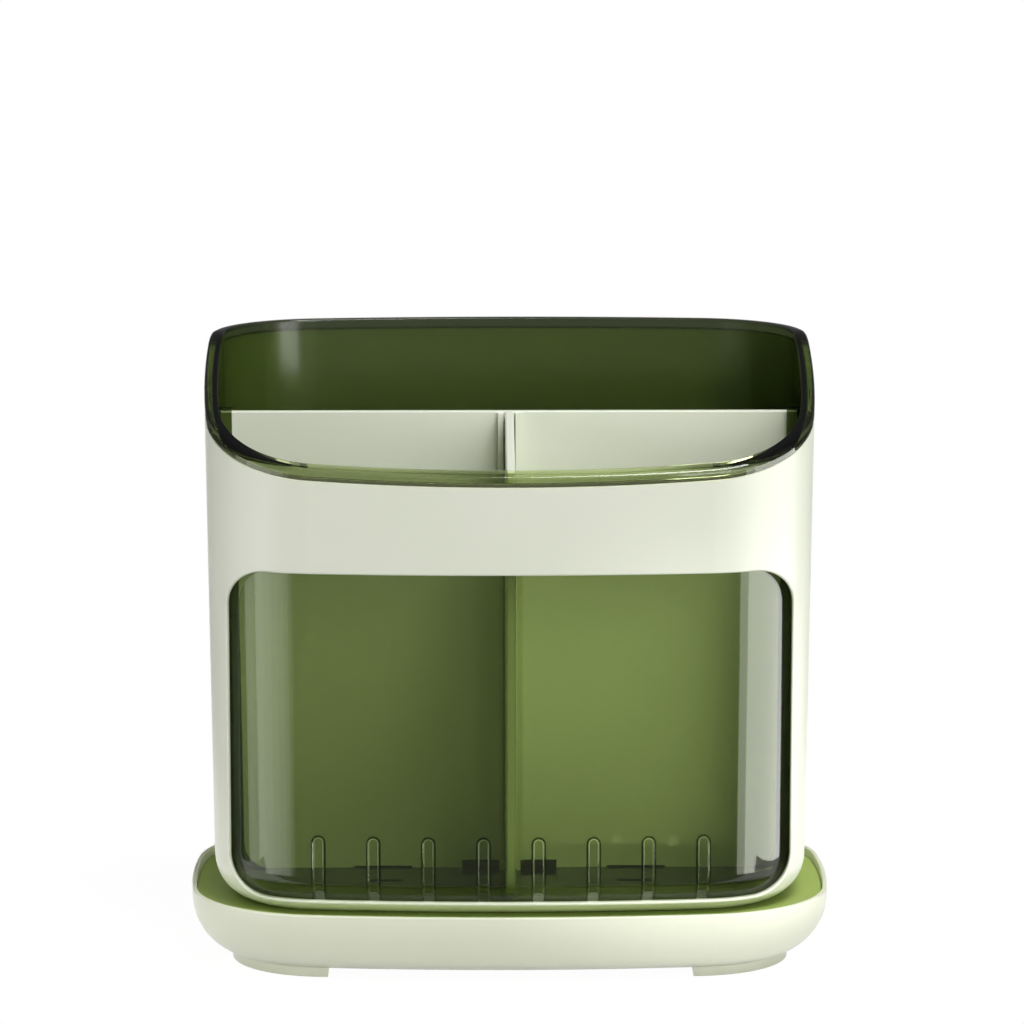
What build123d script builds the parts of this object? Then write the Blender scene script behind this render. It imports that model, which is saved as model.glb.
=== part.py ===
"""Utensil holder: a clear bin with two lift-out dividers, in a windowed shell that stands on a drip tray."""

import os
from math import asin, atan2, cos, degrees, radians, sin, sqrt, tan

from build123d import *

# Plan outline of the body, on the shell's outer face at the height of its front edge
body_width = 173.0
body_depth = 109.0
front_bow_radius = 450.0
side_bow_radius = 235.0
corner_radius = 33.5
draft_angle = 0.8

# Heights above the surface that the holder stands on
tray_height = 20.4
seat_height = 18.0
front_height = 140.6
back_height = 172.0

# The top edge seen from the side: a slope up from the front, a crest, and a level back
slope_run = 72.2
crest_radius = 20.0

# Drip tray
tray_overhang = 5.0
tray_wall = 1.3
tray_floor = 2.0
tray_bottom_radius = 16.0
tray_rim_radius = 0.5
foot_height = 2.0
foot_inset = 11.4
foot_length = 35.0
foot_depth = 36.5

# Tray insert: a level flange that the shell stands on, round a basin that catches the drips
insert_gap = 0.3
insert_wall = 1.6
basin_inset = 20.0
basin_bottom_radius = 6.0
basin_edge_radius = 1.0

# Outer shell
shell_wall = 2.0
shell_floor = 1.8
shell_bottom_radius = 12.0
shell_ring_width = 5.0
window_margin = 7.5
window_sill = 4.3
window_band = 24.5
window_corner_radius = 11.0
window_edge_radius = 0.5

# Inner bin, with a rim that caps the shell's top edge
bin_gap = 0.4
bin_wall = 1.6
bin_floor = 1.5
rim_height = 3.2
rim_gap = 0.3
rim_outer_radius = 1.8
rim_inner_radius = 0.6

# Drains in the bin: grooves down the front that end in holes at the bottom corner, and slots in the floor
groove_count = 8
groove_margin = 24.75
groove_width = 3.0
groove_depth = 0.6
groove_rise = 19.4
groove_bevel = 0.2
groove_floor_radius = 0.28
drain_hole_height = 3.7
drain_hole_radius = 1.0
floor_slot_length = 10.7
floor_slot_width = 3.2
floor_slot_spread = 71.0
floor_slot_reach = 17.0

# Cross divider, in a pair of guides on each side wall of the bin
panel_thickness = 2.5
panel_front = 0.0
panel_drop = 9.7
panel_gap = 0.4
panel_edge_radius = 0.5
guide_gap = 0.3
guide_thickness = 1.5
guide_depth = 3.5
guide_rise = 0.7
notch_width = 10.2
notch_height = 2.3
tab_gap = 0.5
tab_height = 0.6
sill_gap_width = 17.0
sill_gap_height = 0.5
sill_gap_spread = 72.8

# Centre divider, in a channel on the cross divider and a channel on the bin's front wall
fin_thickness = 2.5
fin_gap = 0.4
fin_rise = 2.0
fin_corner_radius = 14.0
fin_edge_radius = 0.6
channel_gap = 0.5
channel_rib = 1.5
channel_depth = 3.0
channel_rise = 1.0
channel_headroom = 4.0

# Every cut runs past the face it opens by this much
overrun = 5.0

# How far a normal leans when a face counts as looking up or along, and how much of a wall a rounding may take
upward_share = 0.5
along_share = 0.1
rounding_share = 0.4
touching = 0.01

# Values that the pieces share
half_width = body_width / 2
half_depth = body_depth / 2
block_top = back_height + rim_height + overrun
bin_inset = shell_wall + bin_gap
cavity_inset = bin_inset + bin_wall
bin_bottom = seat_height + shell_floor
floor_top = bin_bottom + bin_floor
bin_bottom_radius = shell_bottom_radius - bin_inset
cavity_radius = bin_bottom_radius - bin_wall
top_slope = atan2(back_height - front_height, slope_run)
window_width = body_width - 2 * window_margin
window_bottom = seat_height + window_sill
window_top = front_height - window_band
groove_pitch = (window_width - 2 * groove_margin) / (groove_count - 1)
panel_back = panel_front + panel_thickness
panel_inset = cavity_inset + panel_gap
panel_top = front_height + (panel_front + half_depth) * tan(top_slope) - panel_drop
channel_slot = fin_thickness + 2 * channel_gap
channel_width = channel_slot + 2 * channel_rib
tray_inner_inset = tray_wall - tray_overhang
tray_floor_top = foot_height + tray_floor
tray_inner_radius = tray_bottom_radius - tray_wall

# Centres of the outline's arcs in its back right quarter; every offset of the outline keeps them
bow_centre = Vector(0, half_depth - front_bow_radius)
side_centre = Vector(half_width - side_bow_radius, 0)


def corner_arc_centre():
    """The point that lies one corner radius inside both the back bow and the side bow."""
    between = side_centre - bow_centre
    bow_reach = front_bow_radius - corner_radius
    side_reach = side_bow_radius - corner_radius
    along = (bow_reach**2 - side_reach**2 + between.length**2) / (2 * between.length)
    across = sqrt(bow_reach**2 - along**2)
    ahead = between.normalized()
    return bow_centre + ahead * along + Vector(ahead.Y, -ahead.X) * across


corner_centre = corner_arc_centre()


def outline(inset):
    """The plan outline moved inwards: four bowed sides and four round corners, all tangent."""
    radius = corner_radius - inset
    to_bow = (corner_centre - bow_centre).normalized()
    to_side = (corner_centre - side_centre).normalized()
    bow_end = corner_centre + to_bow * radius
    corner_mid = corner_centre + (to_bow + to_side).normalized() * radius
    side_end = corner_centre + to_side * radius

    def at(point, side, end):
        return (side * point.X, end * point.Y)

    arcs = []
    for side, end in ((1, -1), (1, 1), (-1, 1), (-1, -1)):
        corner = [at(bow_end, side, end), at(corner_mid, side, end), at(side_end, side, end)]
        arcs.append(ThreePointArc(*(corner if side * end < 0 else reversed(corner))))
    for end in (1, -1):
        crown = (0, end * (half_depth - inset))
        arcs.append(ThreePointArc(at(bow_end, end, end), crown, at(bow_end, -end, end)))
        flank = (end * (half_width - inset), 0)
        arcs.append(ThreePointArc(at(side_end, end, -end), flank, at(side_end, end, end)))
    return make_face(arcs)


def rounded_below(block, radius):
    """The block with its lowest edges rounded."""
    return fillet(block.edges().group_by(Axis.Z)[0], radius)


def drafted_block(inset, bottom, radius):
    """A solid on the outline that widens upwards with the moulding draft, rounded below."""
    base = outline(inset + (front_height - bottom) * tan(radians(draft_angle)))
    block = extrude(Pos(0, 0, bottom) * base, amount=block_top - bottom, dir=(0, 0, 1), taper=-draft_angle)
    return rounded_below(block, radius)


def upright_block(inset, bottom, top):
    """A solid on the outline with upright sides."""
    return extrude(Pos(0, 0, bottom) * outline(inset), amount=top - bottom, dir=(0, 0, 1))


def span_box(x_span, y_span, z_span):
    """A box between two limits along each axis."""
    low, high = zip(x_span, y_span, z_span)
    size = [b - a for a, b in zip(low, high)]
    return Pos(*low) * Box(*size, align=(Align.MIN, Align.MIN, Align.MIN))


def within(point, inset):
    """Whether a point lies inside the rectangle round the outline moved inwards."""
    return abs(point.X) < half_width - inset and abs(point.Y) < half_depth - inset


def face_of_cut(face, cut):
    """Whether a face was left by a cut that runs along Y."""
    return abs(face.normal_at().Y) < along_share and cut.distance_to(face.center()) < touching


def border(faces):
    """The edges that belong to just one of the faces."""
    edges = [edge for face in faces for edge in face.edges()]
    return [edge for edge in edges if sum(edge.is_same(other) for other in edges) == 1]


def below_top_edge(lift):
    """All that lies below the shell's top edge, raised by lift."""
    tangent = crest_radius * tan(top_slope / 2)
    front_y = -half_depth - overrun
    back_y = half_depth + overrun
    climb = Vector(cos(top_slope), sin(top_slope))
    crest = Vector(slope_run - half_depth, back_height + lift)
    slope_end = crest - climb * tangent
    level_start = crest + Vector(tangent, 0)
    slope_start = (front_y, front_height + lift - overrun * tan(top_slope))
    edges = [
        Line(slope_start, slope_end),
        TangentArc(slope_end, level_start, tangent=climb),
        Line(level_start, (back_y, back_height + lift)),
        Polyline((back_y, back_height + lift), (back_y, 0), (front_y, 0), slope_start),
    ]
    side_view = Plane.YZ * make_face(edges)
    return extrude(side_view, amount=half_width + overrun, both=True)


def drip_tray():
    """A round-bottomed pan on four corner feet."""
    pan = rounded_below(upright_block(-tray_overhang, foot_height, tray_height), tray_bottom_radius)
    hollow = upright_block(tray_inner_inset, tray_floor_top, tray_height + overrun)
    pan -= rounded_below(hollow, tray_inner_radius)
    pan = fillet(pan.edges().group_by(Axis.Z)[-1], tray_rim_radius)
    footprint = upright_block(foot_inset - tray_overhang, 0, tray_floor_top)
    inner_x = half_width - foot_length
    inner_y = half_depth - foot_depth
    gap_x = span_box((-inner_x, inner_x), (-half_depth, half_depth), (0, tray_floor_top))
    gap_y = span_box((-half_width, half_width), (-inner_y, inner_y), (0, tray_floor_top))
    return pan + (footprint - gap_x - gap_y)


def tray_insert():
    """A level flange round a basin, standing on the tray's floor."""
    seat = upright_block(tray_inner_inset + insert_gap, tray_floor_top, tray_height + overrun)
    seat = rounded_below(seat, tray_inner_radius - insert_gap)
    level = (-body_width, body_width), (-body_depth, body_depth), (seat_height - insert_wall, seat_height)
    flange = seat & span_box(*level)
    basin = upright_block(basin_inset, tray_floor_top, seat_height)
    basin = rounded_below(basin, basin_bottom_radius)
    hollow = upright_block(basin_inset + insert_wall, tray_floor_top + insert_wall, seat_height + overrun)
    insert = flange + basin - rounded_below(hollow, basin_bottom_radius - insert_wall)
    level_edges = insert.edges().filter_by_position(Axis.Z, seat_height, seat_height)
    mouth = [edge for edge in level_edges if within(edge.center(), basin_inset)]
    return fillet(mouth, basin_edge_radius)


def outer_shell():
    """A sleeve with a rounded, open bottom, a sloping top edge and a wide front window."""
    shell = drafted_block(0, seat_height, shell_bottom_radius)
    shell -= drafted_block(shell_wall, bin_bottom, shell_bottom_radius - shell_wall)
    draft_inset = (front_height - seat_height) * tan(radians(draft_angle))
    opening_inset = draft_inset + shell_bottom_radius + shell_ring_width
    shell -= upright_block(opening_inset, seat_height - overrun, bin_bottom + overrun)
    height = window_top - window_bottom
    window = Pos(0, window_bottom + height / 2) * RectangleRounded(window_width, height, window_corner_radius)
    window_cut = extrude(Plane.XZ.offset(corner_centre.Y) * window, amount=half_depth)
    shell -= window_cut
    reveal = [face for face in shell.faces() if face_of_cut(face, window_cut)]
    shell = fillet(border(reveal), min(window_edge_radius, shell_wall * rounding_share))
    return shell & below_top_edge(0)


def front_channel(bin_outer):
    """Two ribs that follow the inside of the bin's front wall and meet in a round end."""
    top = front_height - channel_headroom
    end = floor_top + channel_rise + channel_width / 2
    shape = None
    for width in (channel_width, channel_slot):
        bar = Pos(0, (end + top) / 2) * Rectangle(width, top - end)
        rounded = bar + Pos(0, end) * Circle(width / 2)
        shape = rounded if shape is None else shape - rounded
    ribs = extrude(Plane.XZ.offset(corner_centre.Y) * shape, amount=half_depth)
    inside = drafted_block(cavity_inset + channel_depth, floor_top, cavity_radius)
    return (ribs & bin_outer) - inside


def panel_guides(bin_outer):
    """A pair of upright ribs on each side wall of the bin, with the cross divider between them."""
    inside = drafted_block(cavity_inset + guide_depth, floor_top, cavity_radius)
    fronts = (panel_front - guide_gap - guide_thickness, panel_back + guide_gap)
    guides = []
    for y in fronts:
        thickness = (y, y + guide_thickness)
        band = span_box((-body_width, body_width), thickness, (bin_bottom, panel_top + guide_rise))
        guides.append((band & bin_outer) - inside)
    return guides


def groove_section():
    """The section of a groove, with bevelled lips and rounded floor edges, and open to the outside."""
    half = groove_width / 2
    reach = half + groove_bevel + overrun
    points = [(half, -groove_bevel), (reach, overrun), (-reach, overrun)]
    points += [(-half, -groove_bevel), (-half, -groove_depth), (half, -groove_depth)]
    section = make_face(Polyline(*points, close=True))
    return fillet(section.vertices().group_by(Axis.Y)[0], groove_floor_radius)


def front_groove():
    """A round-topped groove that follows the front wall down and round its bottom corner."""
    start = floor_top + groove_rise - groove_width / 2
    heights = (start, bin_bottom)
    wall = [bin_inset - half_depth + (front_height - z) * tan(radians(draft_angle)) for z in heights]
    path = Plane.YZ * FilletPolyline(*zip(wall, heights), (0, bin_bottom), radius=bin_bottom_radius)
    across = Plane(path @ 0, x_dir=(1, 0, 0), z_dir=path % 0)
    section = groove_section()
    right_half = section & Pos(body_width / 2, 0) * Rectangle(body_width, body_depth)
    run = sweep(across * section, path=path)
    end = revolve(across * right_half, Axis(across.origin, across.y_dir), 180)
    above_floor = span_box((-half_width, half_width), (-body_depth, 0), (floor_top, front_height))
    return (run + end) & above_floor


def drain_hole():
    """A round-topped hole at the foot of a groove, level with the bin's floor."""
    hole = Pos(0, floor_top + drain_hole_height / 2) * Rectangle(groove_width, drain_hole_height)
    hole = fillet(hole.vertices().group_by(Axis.Y)[-1], drain_hole_radius)
    return extrude(Plane.XZ.offset(corner_centre.Y) * hole, amount=half_depth)


def front_drains():
    """Grooves and holes in a row along the front, turned about the axis of its bow."""
    axis = Pos(0, -bow_centre.Y)
    cuts = []
    for i in range(groove_count):
        across = (i - (groove_count - 1) / 2) * groove_pitch
        turn = degrees(asin(across / (front_bow_radius - bin_inset)))
        to_place = axis * Rot(0, 0, turn) * axis.inverse()
        cuts += [to_place * front_groove(), to_place * drain_hole()]
    return cuts


def floor_slots():
    """Round-ended slots through the bin's floor, in front of the cross divider and behind it."""
    slots = []
    for y in (panel_front - floor_slot_reach, panel_back + floor_slot_reach):
        for x in (-floor_slot_spread / 2, floor_slot_spread / 2):
            slot = Pos(x, y, bin_bottom - overrun) * SlotOverall(floor_slot_length, floor_slot_width)
            slots.append(extrude(slot, amount=bin_floor + 2 * overrun))
    return slots


def top_border(body):
    """The edges round a piece's sloping top."""
    upper = [face for face in body.faces() if face.center().Z > front_height]
    return border([face for face in upper if face.normal_at().Z > upward_share])


def floor_tabs():
    """A low tab on the bin's floor in each notch of the cross divider."""
    inner = channel_width / 2 + tab_gap
    outer = channel_width / 2 + notch_width - tab_gap
    tabs = []
    for side in (-1, 1):
        x_span = sorted((side * inner, side * outer))
        tabs.append(span_box(x_span, (panel_front, panel_back), (bin_bottom, floor_top + tab_height)))
    return tabs


def inner_bin():
    """A drafted bin whose rim caps the shell's top edge."""
    bin_outer = drafted_block(bin_inset, bin_bottom, bin_bottom_radius)
    cavity = drafted_block(cavity_inset, floor_top, cavity_radius)
    rim = drafted_block(0, bin_bottom, bin_bottom_radius) - below_top_edge(rim_gap)
    body = (bin_outer + rim) & below_top_edge(rim_height)
    body = fillet(top_border(body), rim_outer_radius) - cavity
    mouth = [edge for edge in top_border(body) if cavity.distance_to(edge.center()) < touching]
    body = fillet(mouth, rim_inner_radius)
    body = body + panel_guides(bin_outer) + front_channel(bin_outer) + floor_tabs()
    return body - front_drains() - floor_slots()


def cross_divider():
    """A panel across the bin, with a channel for the centre divider and drain gaps at its foot."""
    space = drafted_block(panel_inset, floor_top, cavity_radius)
    thickness = (panel_front, panel_back)
    middle = Pos((panel_front + panel_back) / 2, panel_top / 2)
    section = middle * Rectangle(panel_thickness, panel_top)
    section = fillet(section.vertices().group_by(Axis.Y)[-1], panel_edge_radius)
    panel = extrude(Plane.YZ * section, amount=half_width, both=True) & space
    rib_depth = (panel_front - channel_depth, panel_front)
    sill_start = (sill_gap_spread - sill_gap_width) / 2
    for side in (-1, 1):
        rib = sorted((side * channel_slot / 2, side * channel_width / 2))
        notch = sorted((side * channel_width / 2, side * (channel_width / 2 + notch_width)))
        sill = sorted((side * sill_start, side * (sill_start + sill_gap_width)))
        panel += span_box(rib, rib_depth, (floor_top, panel_top - panel_edge_radius))
        panel -= span_box(notch, thickness, (floor_top, floor_top + notch_height))
        panel -= span_box(sill, thickness, (floor_top, floor_top + sill_gap_height))
    return panel


def centre_divider():
    """A fin between the cross divider and the front wall, its top edge falling to the front."""
    wall_inset = cavity_inset + fin_gap
    space = drafted_block(wall_inset, floor_top, fin_corner_radius)
    back_top = Vector(panel_front - fin_gap, panel_top)
    front_top = Vector(wall_inset - half_depth, front_height + fin_rise)
    beyond = front_top + (front_top - back_top).normalized() * overrun
    side_view = Polyline((back_top.X, 0), back_top, beyond, (beyond.X, 0), close=True)
    plate = extrude(Plane.YZ * make_face(side_view), amount=fin_thickness / 2, both=True) & space
    return fillet(border(plate.faces().filter_by(Axis.X)), fin_edge_radius)


os.makedirs("parts", exist_ok=True)
for piece in (drip_tray, tray_insert, outer_shell, inner_bin, cross_divider, centre_divider):
    export_step(piece(), f"parts/{piece.__name__}.step")
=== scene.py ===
from math import cos, radians, sin

import bmesh
import bpy
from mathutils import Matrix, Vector


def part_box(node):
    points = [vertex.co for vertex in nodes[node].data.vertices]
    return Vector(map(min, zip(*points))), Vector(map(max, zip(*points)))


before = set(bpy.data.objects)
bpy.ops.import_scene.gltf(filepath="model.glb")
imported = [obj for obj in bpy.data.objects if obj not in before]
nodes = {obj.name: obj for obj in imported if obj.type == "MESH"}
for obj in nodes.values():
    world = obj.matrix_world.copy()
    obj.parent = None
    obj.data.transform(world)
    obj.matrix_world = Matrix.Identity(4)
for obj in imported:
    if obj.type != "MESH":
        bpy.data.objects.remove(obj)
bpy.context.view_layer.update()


# Colours

WHITE = (1.0, 1.0, 1.0)
STUDIO_GREY = (0.6, 0.6, 0.6)

BODY_SHADE, BODY_CLOUD = (0.80, 0.83, 0.69), (0.82, 0.845, 0.715)
TRAY_SHADE, TRAY_CLOUD = (0.80, 0.83, 0.655), (0.82, 0.845, 0.68)
# Painted light: the dividers are the body's pale plastic painted lighter, so they stay bright inside the bin
DIVIDER_PAINTED_LIGHT_SHADE, DIVIDER_PAINTED_LIGHT_CLOUD = (0.88, 0.92, 0.77), (0.9, 0.935, 0.79)
INSERT_SHADE, INSERT_CLOUD = (0.36, 0.47, 0.125), (0.38, 0.49, 0.135)

CLEAR_GREEN = (0.298, 0.357, 0.169)
# Painted light: the front rim is painted lighter than the clear green
FRONT_RIM_PAINTED_LIGHT = (0.95, 0.98, 0.8)
# Painted shade: the rear rim is painted dark
REAR_RIM_PAINTED_SHADE = (0.05, 0.06, 0.035)
# Painted shade: the bin's floor is painted darker
FLOOR_PAINTED_SHADE = (0.12, 0.16, 0.06)
# Painted highlight and painted shade along the edges of the drain grooves
GROOVE_PAINTED_HIGHLIGHT = (0.8, 0.92, 0.6)
GROOVE_PAINTED_SHADE = (0.03, 0.045, 0.012)
DEPTH_GREEN = (0.5, 0.6, 0.05)
FRONT_WALL_SHADOW = (0.73, 0.74, 0.7)
INNER_SHADOW = (0.29, 0.307, 0.29)


# Places on the bin, in metres

bin_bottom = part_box("inner_bin")[0].z
floor_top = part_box("cross_divider")[0].z
shell_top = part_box("outer_shell")[1].z

# The front wall bows about an upright line behind the holder
FRONT_BOW_CENTRE = 0.3955
FRONT_BOW_RADIUS = 0.4476

# The top edge climbs from the front to the back at this rate
TOP_EDGE_CLIMB = 0.4349

GROOVE_PITCH = 0.0155
GROOVE_RISE = 0.0194
groove_end = bin_bottom + GROOVE_RISE

# Each pair says where a change of tint, of painted light or shade, or of finish starts and where it is
# complete
# The front rim's level is read at the holder's middle, on the slope through a point
FRONT_RIM_LEVEL = (0.1642, 0.1648)
FRONT_RIM_REACH = (-0.02, -0.035)
REAR_RIM_LEVEL = (shell_top - 0.0002, shell_top + 0.0004)
FLOOR_LEVEL = (floor_top + 0.0006, floor_top + 0.0003)
GROOVE_FOOT_LEVEL = (floor_top + 0.0003, floor_top + 0.0007)
GROOVE_HEAD_LEVEL = (groove_end + 0.0024, groove_end + 0.002)
GROOVE_WALL_REACH = (-0.034, -0.036)
GROOVE_SIDE_REACH = (0.0585, 0.058)
SHADOW_REACH = (-0.046, -0.038)
REAR_HAZE_REACH = (0.02, 0.035)

# Distances from a groove's middle line for its painted highlight and painted shade lines: start, full
# strength, last of the full strength, end
GROOVE_FLOOR_EDGE = (0.001125, 0.00125, 0.0015, 0.001625)
GROOVE_LIP = (0.001575, 0.001675, 0.001975, 0.002075)


# Node helpers

NOISE_DARKEST, NOISE_LIGHTEST = 0.3, 0.7


def opaque(colour):
    """A colour with full alpha."""
    return (*colour, 1.0)


def new_material(name):
    """An empty node material, its node tree and its output node."""
    material = bpy.data.materials.new(name)
    material.use_nodes = True
    material.node_tree.nodes.clear()
    output = material.node_tree.nodes.new("ShaderNodeOutputMaterial")
    return material, material.node_tree, output


def add_node(tree, kind, **settings):
    """A node of one kind with its plain settings."""
    node = tree.nodes.new(kind)
    for name, value in settings.items():
        setattr(node, name, value)
    return node


def split_axes(tree, coordinates):
    """A node that gives X, Y and Z of one kind of coordinates."""
    place = add_node(tree, "ShaderNodeTexCoord")
    axes = add_node(tree, "ShaderNodeSeparateXYZ")
    tree.links.new(place.outputs[coordinates], axes.inputs[0])
    return axes


def object_noise(tree, scale, detail):
    """Smooth noise that is fixed to the piece."""
    place = add_node(tree, "ShaderNodeTexCoord")
    noise = add_node(tree, "ShaderNodeTexNoise")
    noise.inputs["Scale"].default_value = scale
    noise.inputs["Detail"].default_value = detail
    tree.links.new(place.outputs["Object"], noise.inputs["Vector"])
    return noise.outputs["Fac"]


def rise(tree, source, start, end, low=0.0, high=1.0):
    """A value that goes from low to high while the source goes from start to end."""
    ranged = add_node(tree, "ShaderNodeMapRange")
    ranged.inputs["From Min"].default_value = start
    ranged.inputs["From Max"].default_value = end
    ranged.inputs["To Min"].default_value = low
    ranged.inputs["To Max"].default_value = high
    tree.links.new(source, ranged.inputs["Value"])
    return ranged.outputs["Result"]


def spread(tree, noise, low, high):
    """A value from low to high that follows a noise from its usual darkest to its usual lightest."""
    return rise(tree, noise, NOISE_DARKEST, NOISE_LIGHTEST, low, high)


def combine(tree, operation, *values):
    """A sum, difference or the like of values that are linked or plain."""
    node = add_node(tree, "ShaderNodeMath", operation=operation)
    for socket, value in zip(node.inputs, values):
        if isinstance(value, float):
            socket.default_value = value
        else:
            tree.links.new(value, socket)
    return node.outputs[0]


def product(tree, first, *others):
    """The product of two or more values."""
    for other in others:
        first = combine(tree, "MULTIPLY", first, other)
    return first


def band(tree, source, start, full, full_end, end):
    """A value that is one from full to full_end, and falls to zero at start and end."""
    return product(tree, rise(tree, source, start, full), rise(tree, source, end, full_end))


def blend(tree, source, first, second):
    """A colour that goes from the first, linked or plain, to a plain second one as the source rises."""
    mix = add_node(tree, "ShaderNodeMix", data_type="RGBA")
    if isinstance(first, tuple):
        mix.inputs["A"].default_value = opaque(first)
    else:
        tree.links.new(first, mix.inputs["A"])
    mix.inputs["B"].default_value = opaque(second)
    tree.links.new(source, mix.inputs["Factor"])
    return mix.outputs["Result"]


def mix_shaders(tree, source, first, second):
    """A shader that goes from the first to the second as the source rises."""
    mix = add_node(tree, "ShaderNodeMixShader")
    tree.links.new(source, mix.inputs["Fac"])
    tree.links.new(first, mix.inputs[1])
    tree.links.new(second, mix.inputs[2])
    return mix.outputs["Shader"]


def fine_bump(tree, height, distance):
    """A bump of that depth, in metres."""
    bump = add_node(tree, "ShaderNodeBump")
    bump.inputs["Distance"].default_value = distance
    tree.links.new(height, bump.inputs["Height"])
    return bump.outputs["Normal"]


# Finishes

def pale_plastic(name, shade, cloud):
    """Pale green-white moulded plastic with a soft gloss and the faint ripple of a polished mould."""
    material, tree, output = new_material(name)
    shader = add_node(tree, "ShaderNodeBsdfPrincipled")
    shader.inputs["IOR"].default_value = 1.5
    clouding = spread(tree, object_noise(tree, scale=22.0, detail=2.0), low=0.0, high=1.0)
    tree.links.new(blend(tree, clouding, shade, cloud), shader.inputs["Base Color"])
    gloss = spread(tree, object_noise(tree, scale=60.0, detail=4.0), low=0.3, high=0.36)
    tree.links.new(gloss, shader.inputs["Roughness"])
    ripple = object_noise(tree, scale=900.0, detail=1.0)
    tree.links.new(fine_bump(tree, ripple, distance=0.000004), shader.inputs["Normal"])
    tree.links.new(shader.outputs["BSDF"], output.inputs["Surface"])
    return material


def groove_outline(tree, axes):
    """Distance in metres from the middle line of the nearest drain groove, along the bowed front wall."""
    behind = combine(tree, "SUBTRACT", FRONT_BOW_CENTRE, axes.outputs["Y"])
    turn = combine(tree, "ARCTAN2", axes.outputs["X"], behind)
    across = product(tree, combine(tree, "SINE", turn), FRONT_BOW_RADIUS / GROOVE_PITCH)
    beside = combine(tree, "SUBTRACT", combine(tree, "FRACT", across), 0.5)
    over_end = combine(tree, "SUBTRACT", axes.outputs["Z"], groove_end)
    way = add_node(tree, "ShaderNodeCombineXYZ")
    tree.links.new(product(tree, beside, GROOVE_PITCH), way.inputs["X"])
    tree.links.new(combine(tree, "MAXIMUM", over_end, 0.0), way.inputs["Y"])
    reach = add_node(tree, "ShaderNodeVectorMath", operation="LENGTH")
    tree.links.new(way.outputs["Vector"], reach.inputs[0])
    return reach.outputs["Value"]


def groove_zone(tree, axes):
    """One on the front wall where the grooves are, and zero elsewhere."""
    over_foot = rise(tree, axes.outputs["Z"], *GROOVE_FOOT_LEVEL)
    under_head = rise(tree, axes.outputs["Z"], *GROOVE_HEAD_LEVEL)
    in_front = rise(tree, axes.outputs["Y"], *GROOVE_WALL_REACH)
    between_sides = rise(tree, combine(tree, "ABSOLUTE", axes.outputs["X"]), *GROOVE_SIDE_REACH)
    return product(tree, over_foot, under_head, in_front, between_sides)


def tint_with_painted_light(tree, axes):
    """Green with painted light in the front rim, painted shade in the rear rim and the floor, and lines of
    painted highlight and painted shade along the grooves.
    """
    climb = product(tree, axes.outputs["Y"], TOP_EDGE_CLIMB)
    up_slope = combine(tree, "SUBTRACT", axes.outputs["Z"], climb)
    in_front = rise(tree, axes.outputs["Y"], *FRONT_RIM_REACH)
    # The front rim is painted lighter, as painted light
    front_rim_painted_light_mask = product(tree, rise(tree, up_slope, *FRONT_RIM_LEVEL), in_front)
    tint = blend(tree, front_rim_painted_light_mask, CLEAR_GREEN, FRONT_RIM_PAINTED_LIGHT)
    # The rear rim is painted dark, as painted shade
    tint = blend(tree, rise(tree, axes.outputs["Z"], *REAR_RIM_LEVEL), tint, REAR_RIM_PAINTED_SHADE)
    # The floor is painted darker, as painted shade
    tint = blend(tree, rise(tree, axes.outputs["Z"], *FLOOR_LEVEL), tint, FLOOR_PAINTED_SHADE)
    outline = groove_outline(tree, axes)
    zone = groove_zone(tree, axes)
    # A painted highlight inside each groove's floor edge and painted shade along its lip
    light = product(tree, band(tree, outline, *GROOVE_FLOOR_EDGE), zone)
    dark = product(tree, band(tree, outline, *GROOVE_LIP), zone)
    return blend(tree, dark, blend(tree, light, tint, GROOVE_PAINTED_HIGHLIGHT), GROOVE_PAINTED_SHADE)


def clear_green_plastic():
    """Clear green plastic whose colour deepens with the length of the way through it."""
    material, tree, output = new_material("clear_bin_plastic")
    axes = split_axes(tree, "Object")
    shader = add_node(tree, "ShaderNodeBsdfPrincipled")
    shader.inputs["Transmission Weight"].default_value = 1.0
    shader.inputs["IOR"].default_value = 1.57
    # The base colour carries painted light and painted shade on the rims, the floor and the grooves
    tree.links.new(tint_with_painted_light(tree, axes), shader.inputs["Base Color"])
    polish = spread(tree, object_noise(tree, scale=45.0, detail=3.0), low=0.015, high=0.035)
    rear_haze = rise(tree, axes.outputs["Y"], *REAR_HAZE_REACH, high=0.16)
    tree.links.new(combine(tree, "ADD", polish, rear_haze), shader.inputs["Roughness"])
    flow = object_noise(tree, scale=35.0, detail=1.0)
    tree.links.new(fine_bump(tree, flow, distance=0.00002), shader.inputs["Normal"])
    passing = add_node(tree, "ShaderNodeBsdfTransparent")
    behind_front = rise(tree, axes.outputs["Y"], *SHADOW_REACH)
    tree.links.new(blend(tree, behind_front, FRONT_WALL_SHADOW, INNER_SHADOW), passing.inputs["Color"])
    shadow_ray = add_node(tree, "ShaderNodeLightPath").outputs["Is Shadow Ray"]
    surface = mix_shaders(tree, shadow_ray, shader.outputs["BSDF"], passing.outputs["BSDF"])
    tree.links.new(surface, output.inputs["Surface"])
    depth = add_node(tree, "ShaderNodeVolumeAbsorption")
    depth.inputs["Color"].default_value = opaque(DEPTH_GREEN)
    depth.inputs["Density"].default_value = 120.0
    tree.links.new(depth.outputs["Volume"], output.inputs["Volume"])
    return material


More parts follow.
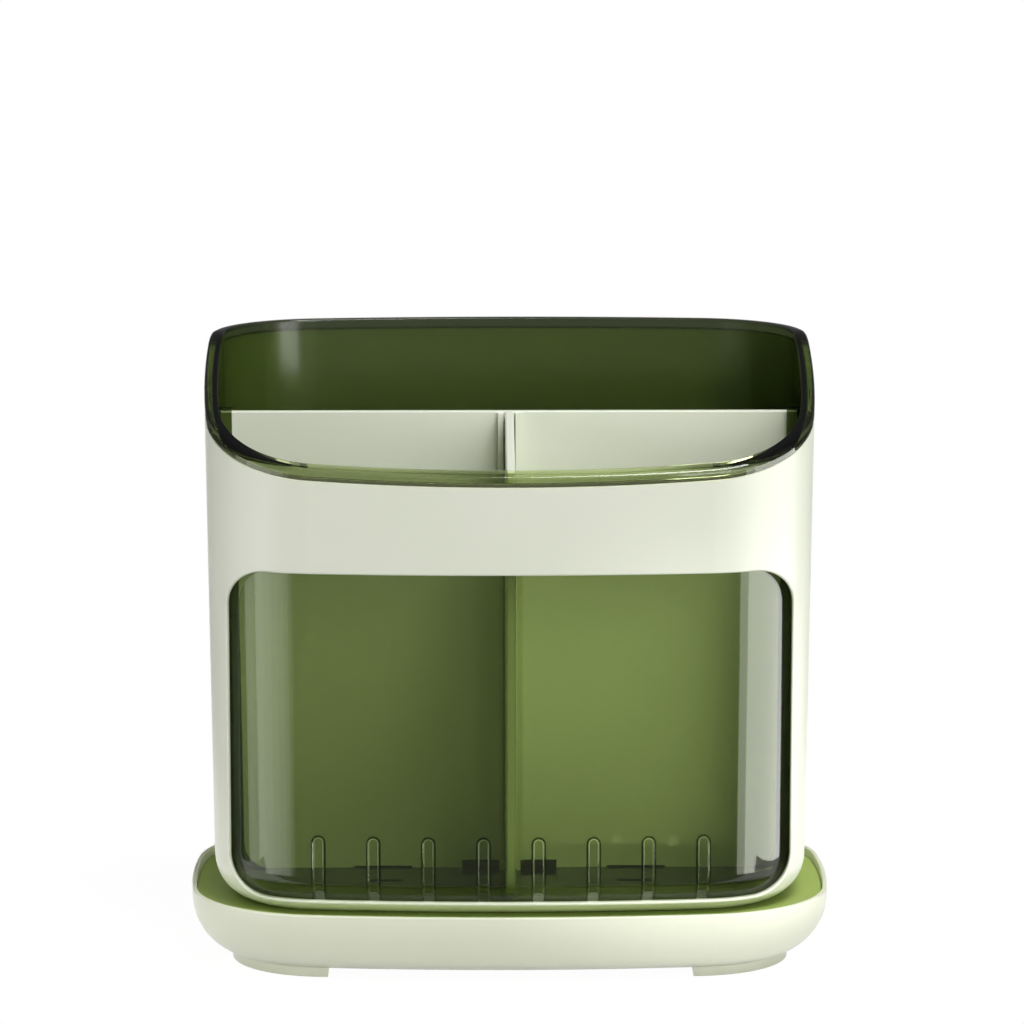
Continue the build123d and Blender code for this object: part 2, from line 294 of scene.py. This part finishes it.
def green_insert_plastic():
    """Solid green plastic with a duller gloss than the pale pieces."""
    material, tree, output = new_material("green_gloss_plastic")
    shader = add_node(tree, "ShaderNodeBsdfPrincipled")
    shader.inputs["IOR"].default_value = 1.5
    shader.inputs["Specular IOR Level"].default_value = 0.1
    clouding = spread(tree, object_noise(tree, scale=30.0, detail=2.0), low=0.0, high=1.0)
    tree.links.new(blend(tree, clouding, INSERT_SHADE, INSERT_CLOUD), shader.inputs["Base Color"])
    gloss = spread(tree, object_noise(tree, scale=50.0, detail=3.0), low=0.42, high=0.5)
    tree.links.new(gloss, shader.inputs["Roughness"])
    ripple = object_noise(tree, scale=700.0, detail=1.0)
    tree.links.new(fine_bump(tree, ripple, distance=0.000003), shader.inputs["Normal"])
    tree.links.new(shader.outputs["BSDF"], output.inputs["Surface"])
    return material


def dress(material, *names):
    """Gives CAD pieces their finish."""
    for name in names:
        nodes[name].data.materials.clear()
        nodes[name].data.materials.append(material)


# Studio

# Each panel's start and end along its strip, in metres, and its share of the strip's glow
PANEL_HEIGHT = 0.3
RIGHT_PANELS = (
    (-0.425, 0.425, 1.0),
    (-0.645, -0.425, 0.46),
)
LEFT_PANELS = (
    (-0.425, -0.162, 0.63),
    (-0.162, 0.0, 1.25),
    (0.0, 0.15, 1.15),
    (0.15, 0.29, 0.97),
    (0.29, 0.425, 0.8),
    (0.425, 0.525, 0.6),
    (0.525, 0.625, 0.25),
)

# Points on the holder that lamps face
BODY_LOW, BODY_MIDDLE, BODY_HIGH = (0.0, 0.0, 0.08), (0.0, 0.0, 0.09), (0.0, 0.0, 0.1)

# Where the backdrop ends upwards and sideways, as parts of a direction of length one
BACKDROP_TOP = (0.1, 0.05)
BACKDROP_SIDES = (0.9, 0.97)


def shown_white(tree):
    """One where the camera sees a surface directly, mirrored or through the clear plastic."""
    path = add_node(tree, "ShaderNodeLightPath")
    indirect = combine(tree, "MAXIMUM", path.outputs["Is Glossy Ray"], path.outputs["Is Transmission Ray"])
    return combine(tree, "MAXIMUM", path.outputs["Is Camera Ray"], indirect)


def studio_white():
    """White that shows as plain white and still takes shadows."""
    glow_share, glow_strength = 0.85, 1.13
    material, tree, output = new_material("studio_white")
    matt = add_node(tree, "ShaderNodeBsdfDiffuse")
    matt.inputs["Color"].default_value = opaque(STUDIO_GREY)
    glow = add_node(tree, "ShaderNodeEmission")
    glow.inputs["Strength"].default_value = glow_strength
    shown = product(tree, shown_white(tree), glow_share)
    surface = mix_shaders(tree, shown, matt.outputs["BSDF"], glow.outputs["Emission"])
    tree.links.new(surface, output.inputs["Surface"])
    return material


def table_top():
    """A small white table under the holder that reaches further back than forward."""
    half_width, half_depth, middle = 0.2, 0.19, 0.11
    mesh = bmesh.new()
    bmesh.ops.create_grid(mesh, x_segments=1, y_segments=1, size=1.0)
    bmesh.ops.scale(mesh, verts=mesh.verts[:], vec=(half_width, half_depth, 1.0))
    bmesh.ops.translate(mesh, verts=mesh.verts[:], vec=(0.0, middle, 0.0))
    data = bpy.data.meshes.new("table_top")
    mesh.to_mesh(data)
    mesh.free()
    table = bpy.data.objects.new("table_top", data)
    bpy.context.scene.collection.objects.link(table)
    table.data.materials.append(studio_white())


def on_stand(lamp, place, aim):
    """A lamp at a place, facing a point."""
    stand = bpy.data.objects.new(lamp.name, lamp)
    stand.location = place
    stand.rotation_euler = (Vector(aim) - Vector(place)).to_track_quat("-Z", "Y").to_euler()
    bpy.context.scene.collection.objects.link(stand)
    return stand


def soft_box(name, place, aim, size, power):
    """A soft rectangular lamp."""
    lamp = bpy.data.lights.new(name, "AREA")
    lamp.shape = "RECTANGLE"
    lamp.size, lamp.size_y = size
    lamp.energy = power
    return on_stand(lamp, place, aim)


def panel_strip(name, middle, facing, glow, panels):
    """A low row of panels, side by side, each with its share of the glow in watts per square metre."""
    facing = Vector(facing)
    along = Vector((facing.y, -facing.x, 0.0)).normalized()
    for number, (start, end, share) in enumerate(panels):
        width = end - start
        place = Vector(middle) + along * (start + end) / 2.0
        power = glow * share * width * PANEL_HEIGHT
        soft_box(f"{name}_{number}", place, place + facing, (width, PANEL_HEIGHT), power)


def snooted_lamp(name, place, aim, beam_degrees, power):
    """A small lamp with a narrow soft-edged beam."""
    lamp = bpy.data.lights.new(name, "SPOT")
    lamp.spot_size = radians(beam_degrees)
    lamp.spot_blend = 1.0
    lamp.shadow_soft_size = 0.03
    lamp.energy = power
    return on_stand(lamp, place, aim)


def matt_light_only(stand):
    """Keeps a lamp out of the picture, the mirrored views and the views through the clear plastic."""
    stand.visible_camera = False
    stand.visible_glossy = False
    stand.visible_transmission = False


def studio_lamps():
    """Soft light that is stronger from the right, and low strips that the bin's clear front mirrors."""
    soft_box("key_right", place=(0.9, -0.35, 0.65), aim=(0.0, -0.25, 0.3), size=(0.8, 1.1), power=0.3)
    soft_box("window_right", place=(0.85, -0.85, 0.2), aim=BODY_LOW, size=(0.5, 0.5), power=2.2)
    panel_strip("strip_right", (0.9, -0.145, -0.13), facing=(-1.0, 0.0, 0.0), glow=16.47, panels=RIGHT_PANELS)
    panel_strip("strip_left", (-0.9, -0.35, -0.13), facing=(0.83, 0.3, 0.0), glow=5.88, panels=LEFT_PANELS)
    soft_left = soft_box("soft_left", place=(-0.9, -0.48, 0.12), aim=BODY_LOW, size=(0.4, 0.25), power=2.35)
    side_left = soft_box("side_left", place=(-1.0, 0.05, -0.02), aim=BODY_LOW, size=(0.5, 0.2), power=1.5)
    soft_box("front_right", place=(0.6, -1.4, 0.5), aim=BODY_HIGH, size=(0.5, 0.5), power=4.1)
    soft_box("top_right", place=(0.35, -0.5, 1.3), aim=BODY_HIGH, size=(0.6, 0.6), power=13.0)
    rear_fill = soft_box("rear_fill", place=(0.0, 1.4, 0.14), aim=BODY_MIDDLE, size=(0.8, 0.4), power=7.0)
    beam_place, beam_aim = (0.28, -1.6, -0.155), (0.052, 0.0, 0.067)
    window_beam = snooted_lamp("window_beam", beam_place, beam_aim, beam_degrees=4.4, power=68.0)
    for stand in (soft_left, side_left, rear_fill, window_beam):
        matt_light_only(stand)


def white_air(tree, strength):
    """An even white background of that strength."""
    air = add_node(tree, "ShaderNodeBackground")
    air.inputs["Color"].default_value = opaque(WHITE)
    air.inputs["Strength"].default_value = strength
    return air.outputs["Background"]


def studio_air():
    """A white backdrop round the holder, and dim even light from all sides."""
    world = bpy.data.worlds.new("studio_air")
    world.use_nodes = True
    tree = world.node_tree
    tree.nodes.clear()
    output = add_node(tree, "ShaderNodeOutputWorld")
    axes = split_axes(tree, "Generated")
    path = add_node(tree, "ShaderNodeLightPath")
    low = rise(tree, axes.outputs["Z"], *BACKDROP_TOP)
    behind = rise(tree, axes.outputs["Y"], *BACKDROP_SIDES)
    mirrored = product(tree, path.outputs["Is Glossy Ray"], behind)
    indirect = combine(tree, "MAXIMUM", path.outputs["Is Transmission Ray"], mirrored)
    backdrop = combine(tree, "MAXIMUM", path.outputs["Is Camera Ray"], product(tree, indirect, low))
    dim, plain_white = white_air(tree, 0.12), white_air(tree, 1.0)
    tree.links.new(mix_shaders(tree, backdrop, dim, plain_white), output.inputs["Surface"])
    bpy.context.scene.world = world


def photo_camera():
    """The camera at the photograph's viewing angle."""
    distance = 1.5
    azimuth, elevation = radians(-0.6), radians(9.151)
    target = Vector((0.00077, 0.0, 0.12537))
    focal_pixels, image_pixels = 5235.9, 1024
    data = bpy.data.cameras.new("photo_camera")
    data.sensor_width = 36.0
    data.lens = data.sensor_width * focal_pixels / image_pixels
    camera = bpy.data.objects.new("photo_camera", data)
    back = Vector((sin(azimuth) * cos(elevation), -cos(azimuth) * cos(elevation), sin(elevation)))
    camera.location = target + back * distance
    camera.rotation_euler = (-back).to_track_quat("-Z", "Y").to_euler()
    bpy.context.scene.collection.objects.link(camera)
    bpy.context.scene.camera = camera


# The dressed holder in its studio

dress(pale_plastic("pale_body_plastic", BODY_SHADE, BODY_CLOUD), "outer_shell")
dress(pale_plastic("pale_tray_plastic", TRAY_SHADE, TRAY_CLOUD), "drip_tray")
# The dividers get a lighter copy of the pale plastic, as painted light
dress(pale_plastic("pale_divider_plastic_painted_lighter", DIVIDER_PAINTED_LIGHT_SHADE, DIVIDER_PAINTED_LIGHT_CLOUD), "cross_divider", "centre_divider")
dress(clear_green_plastic(), "inner_bin")
dress(green_insert_plastic(), "tray_insert")

table_top()
studio_lamps()
studio_air()
photo_camera()
bpy.context.scene.view_settings.view_transform = "Standard"
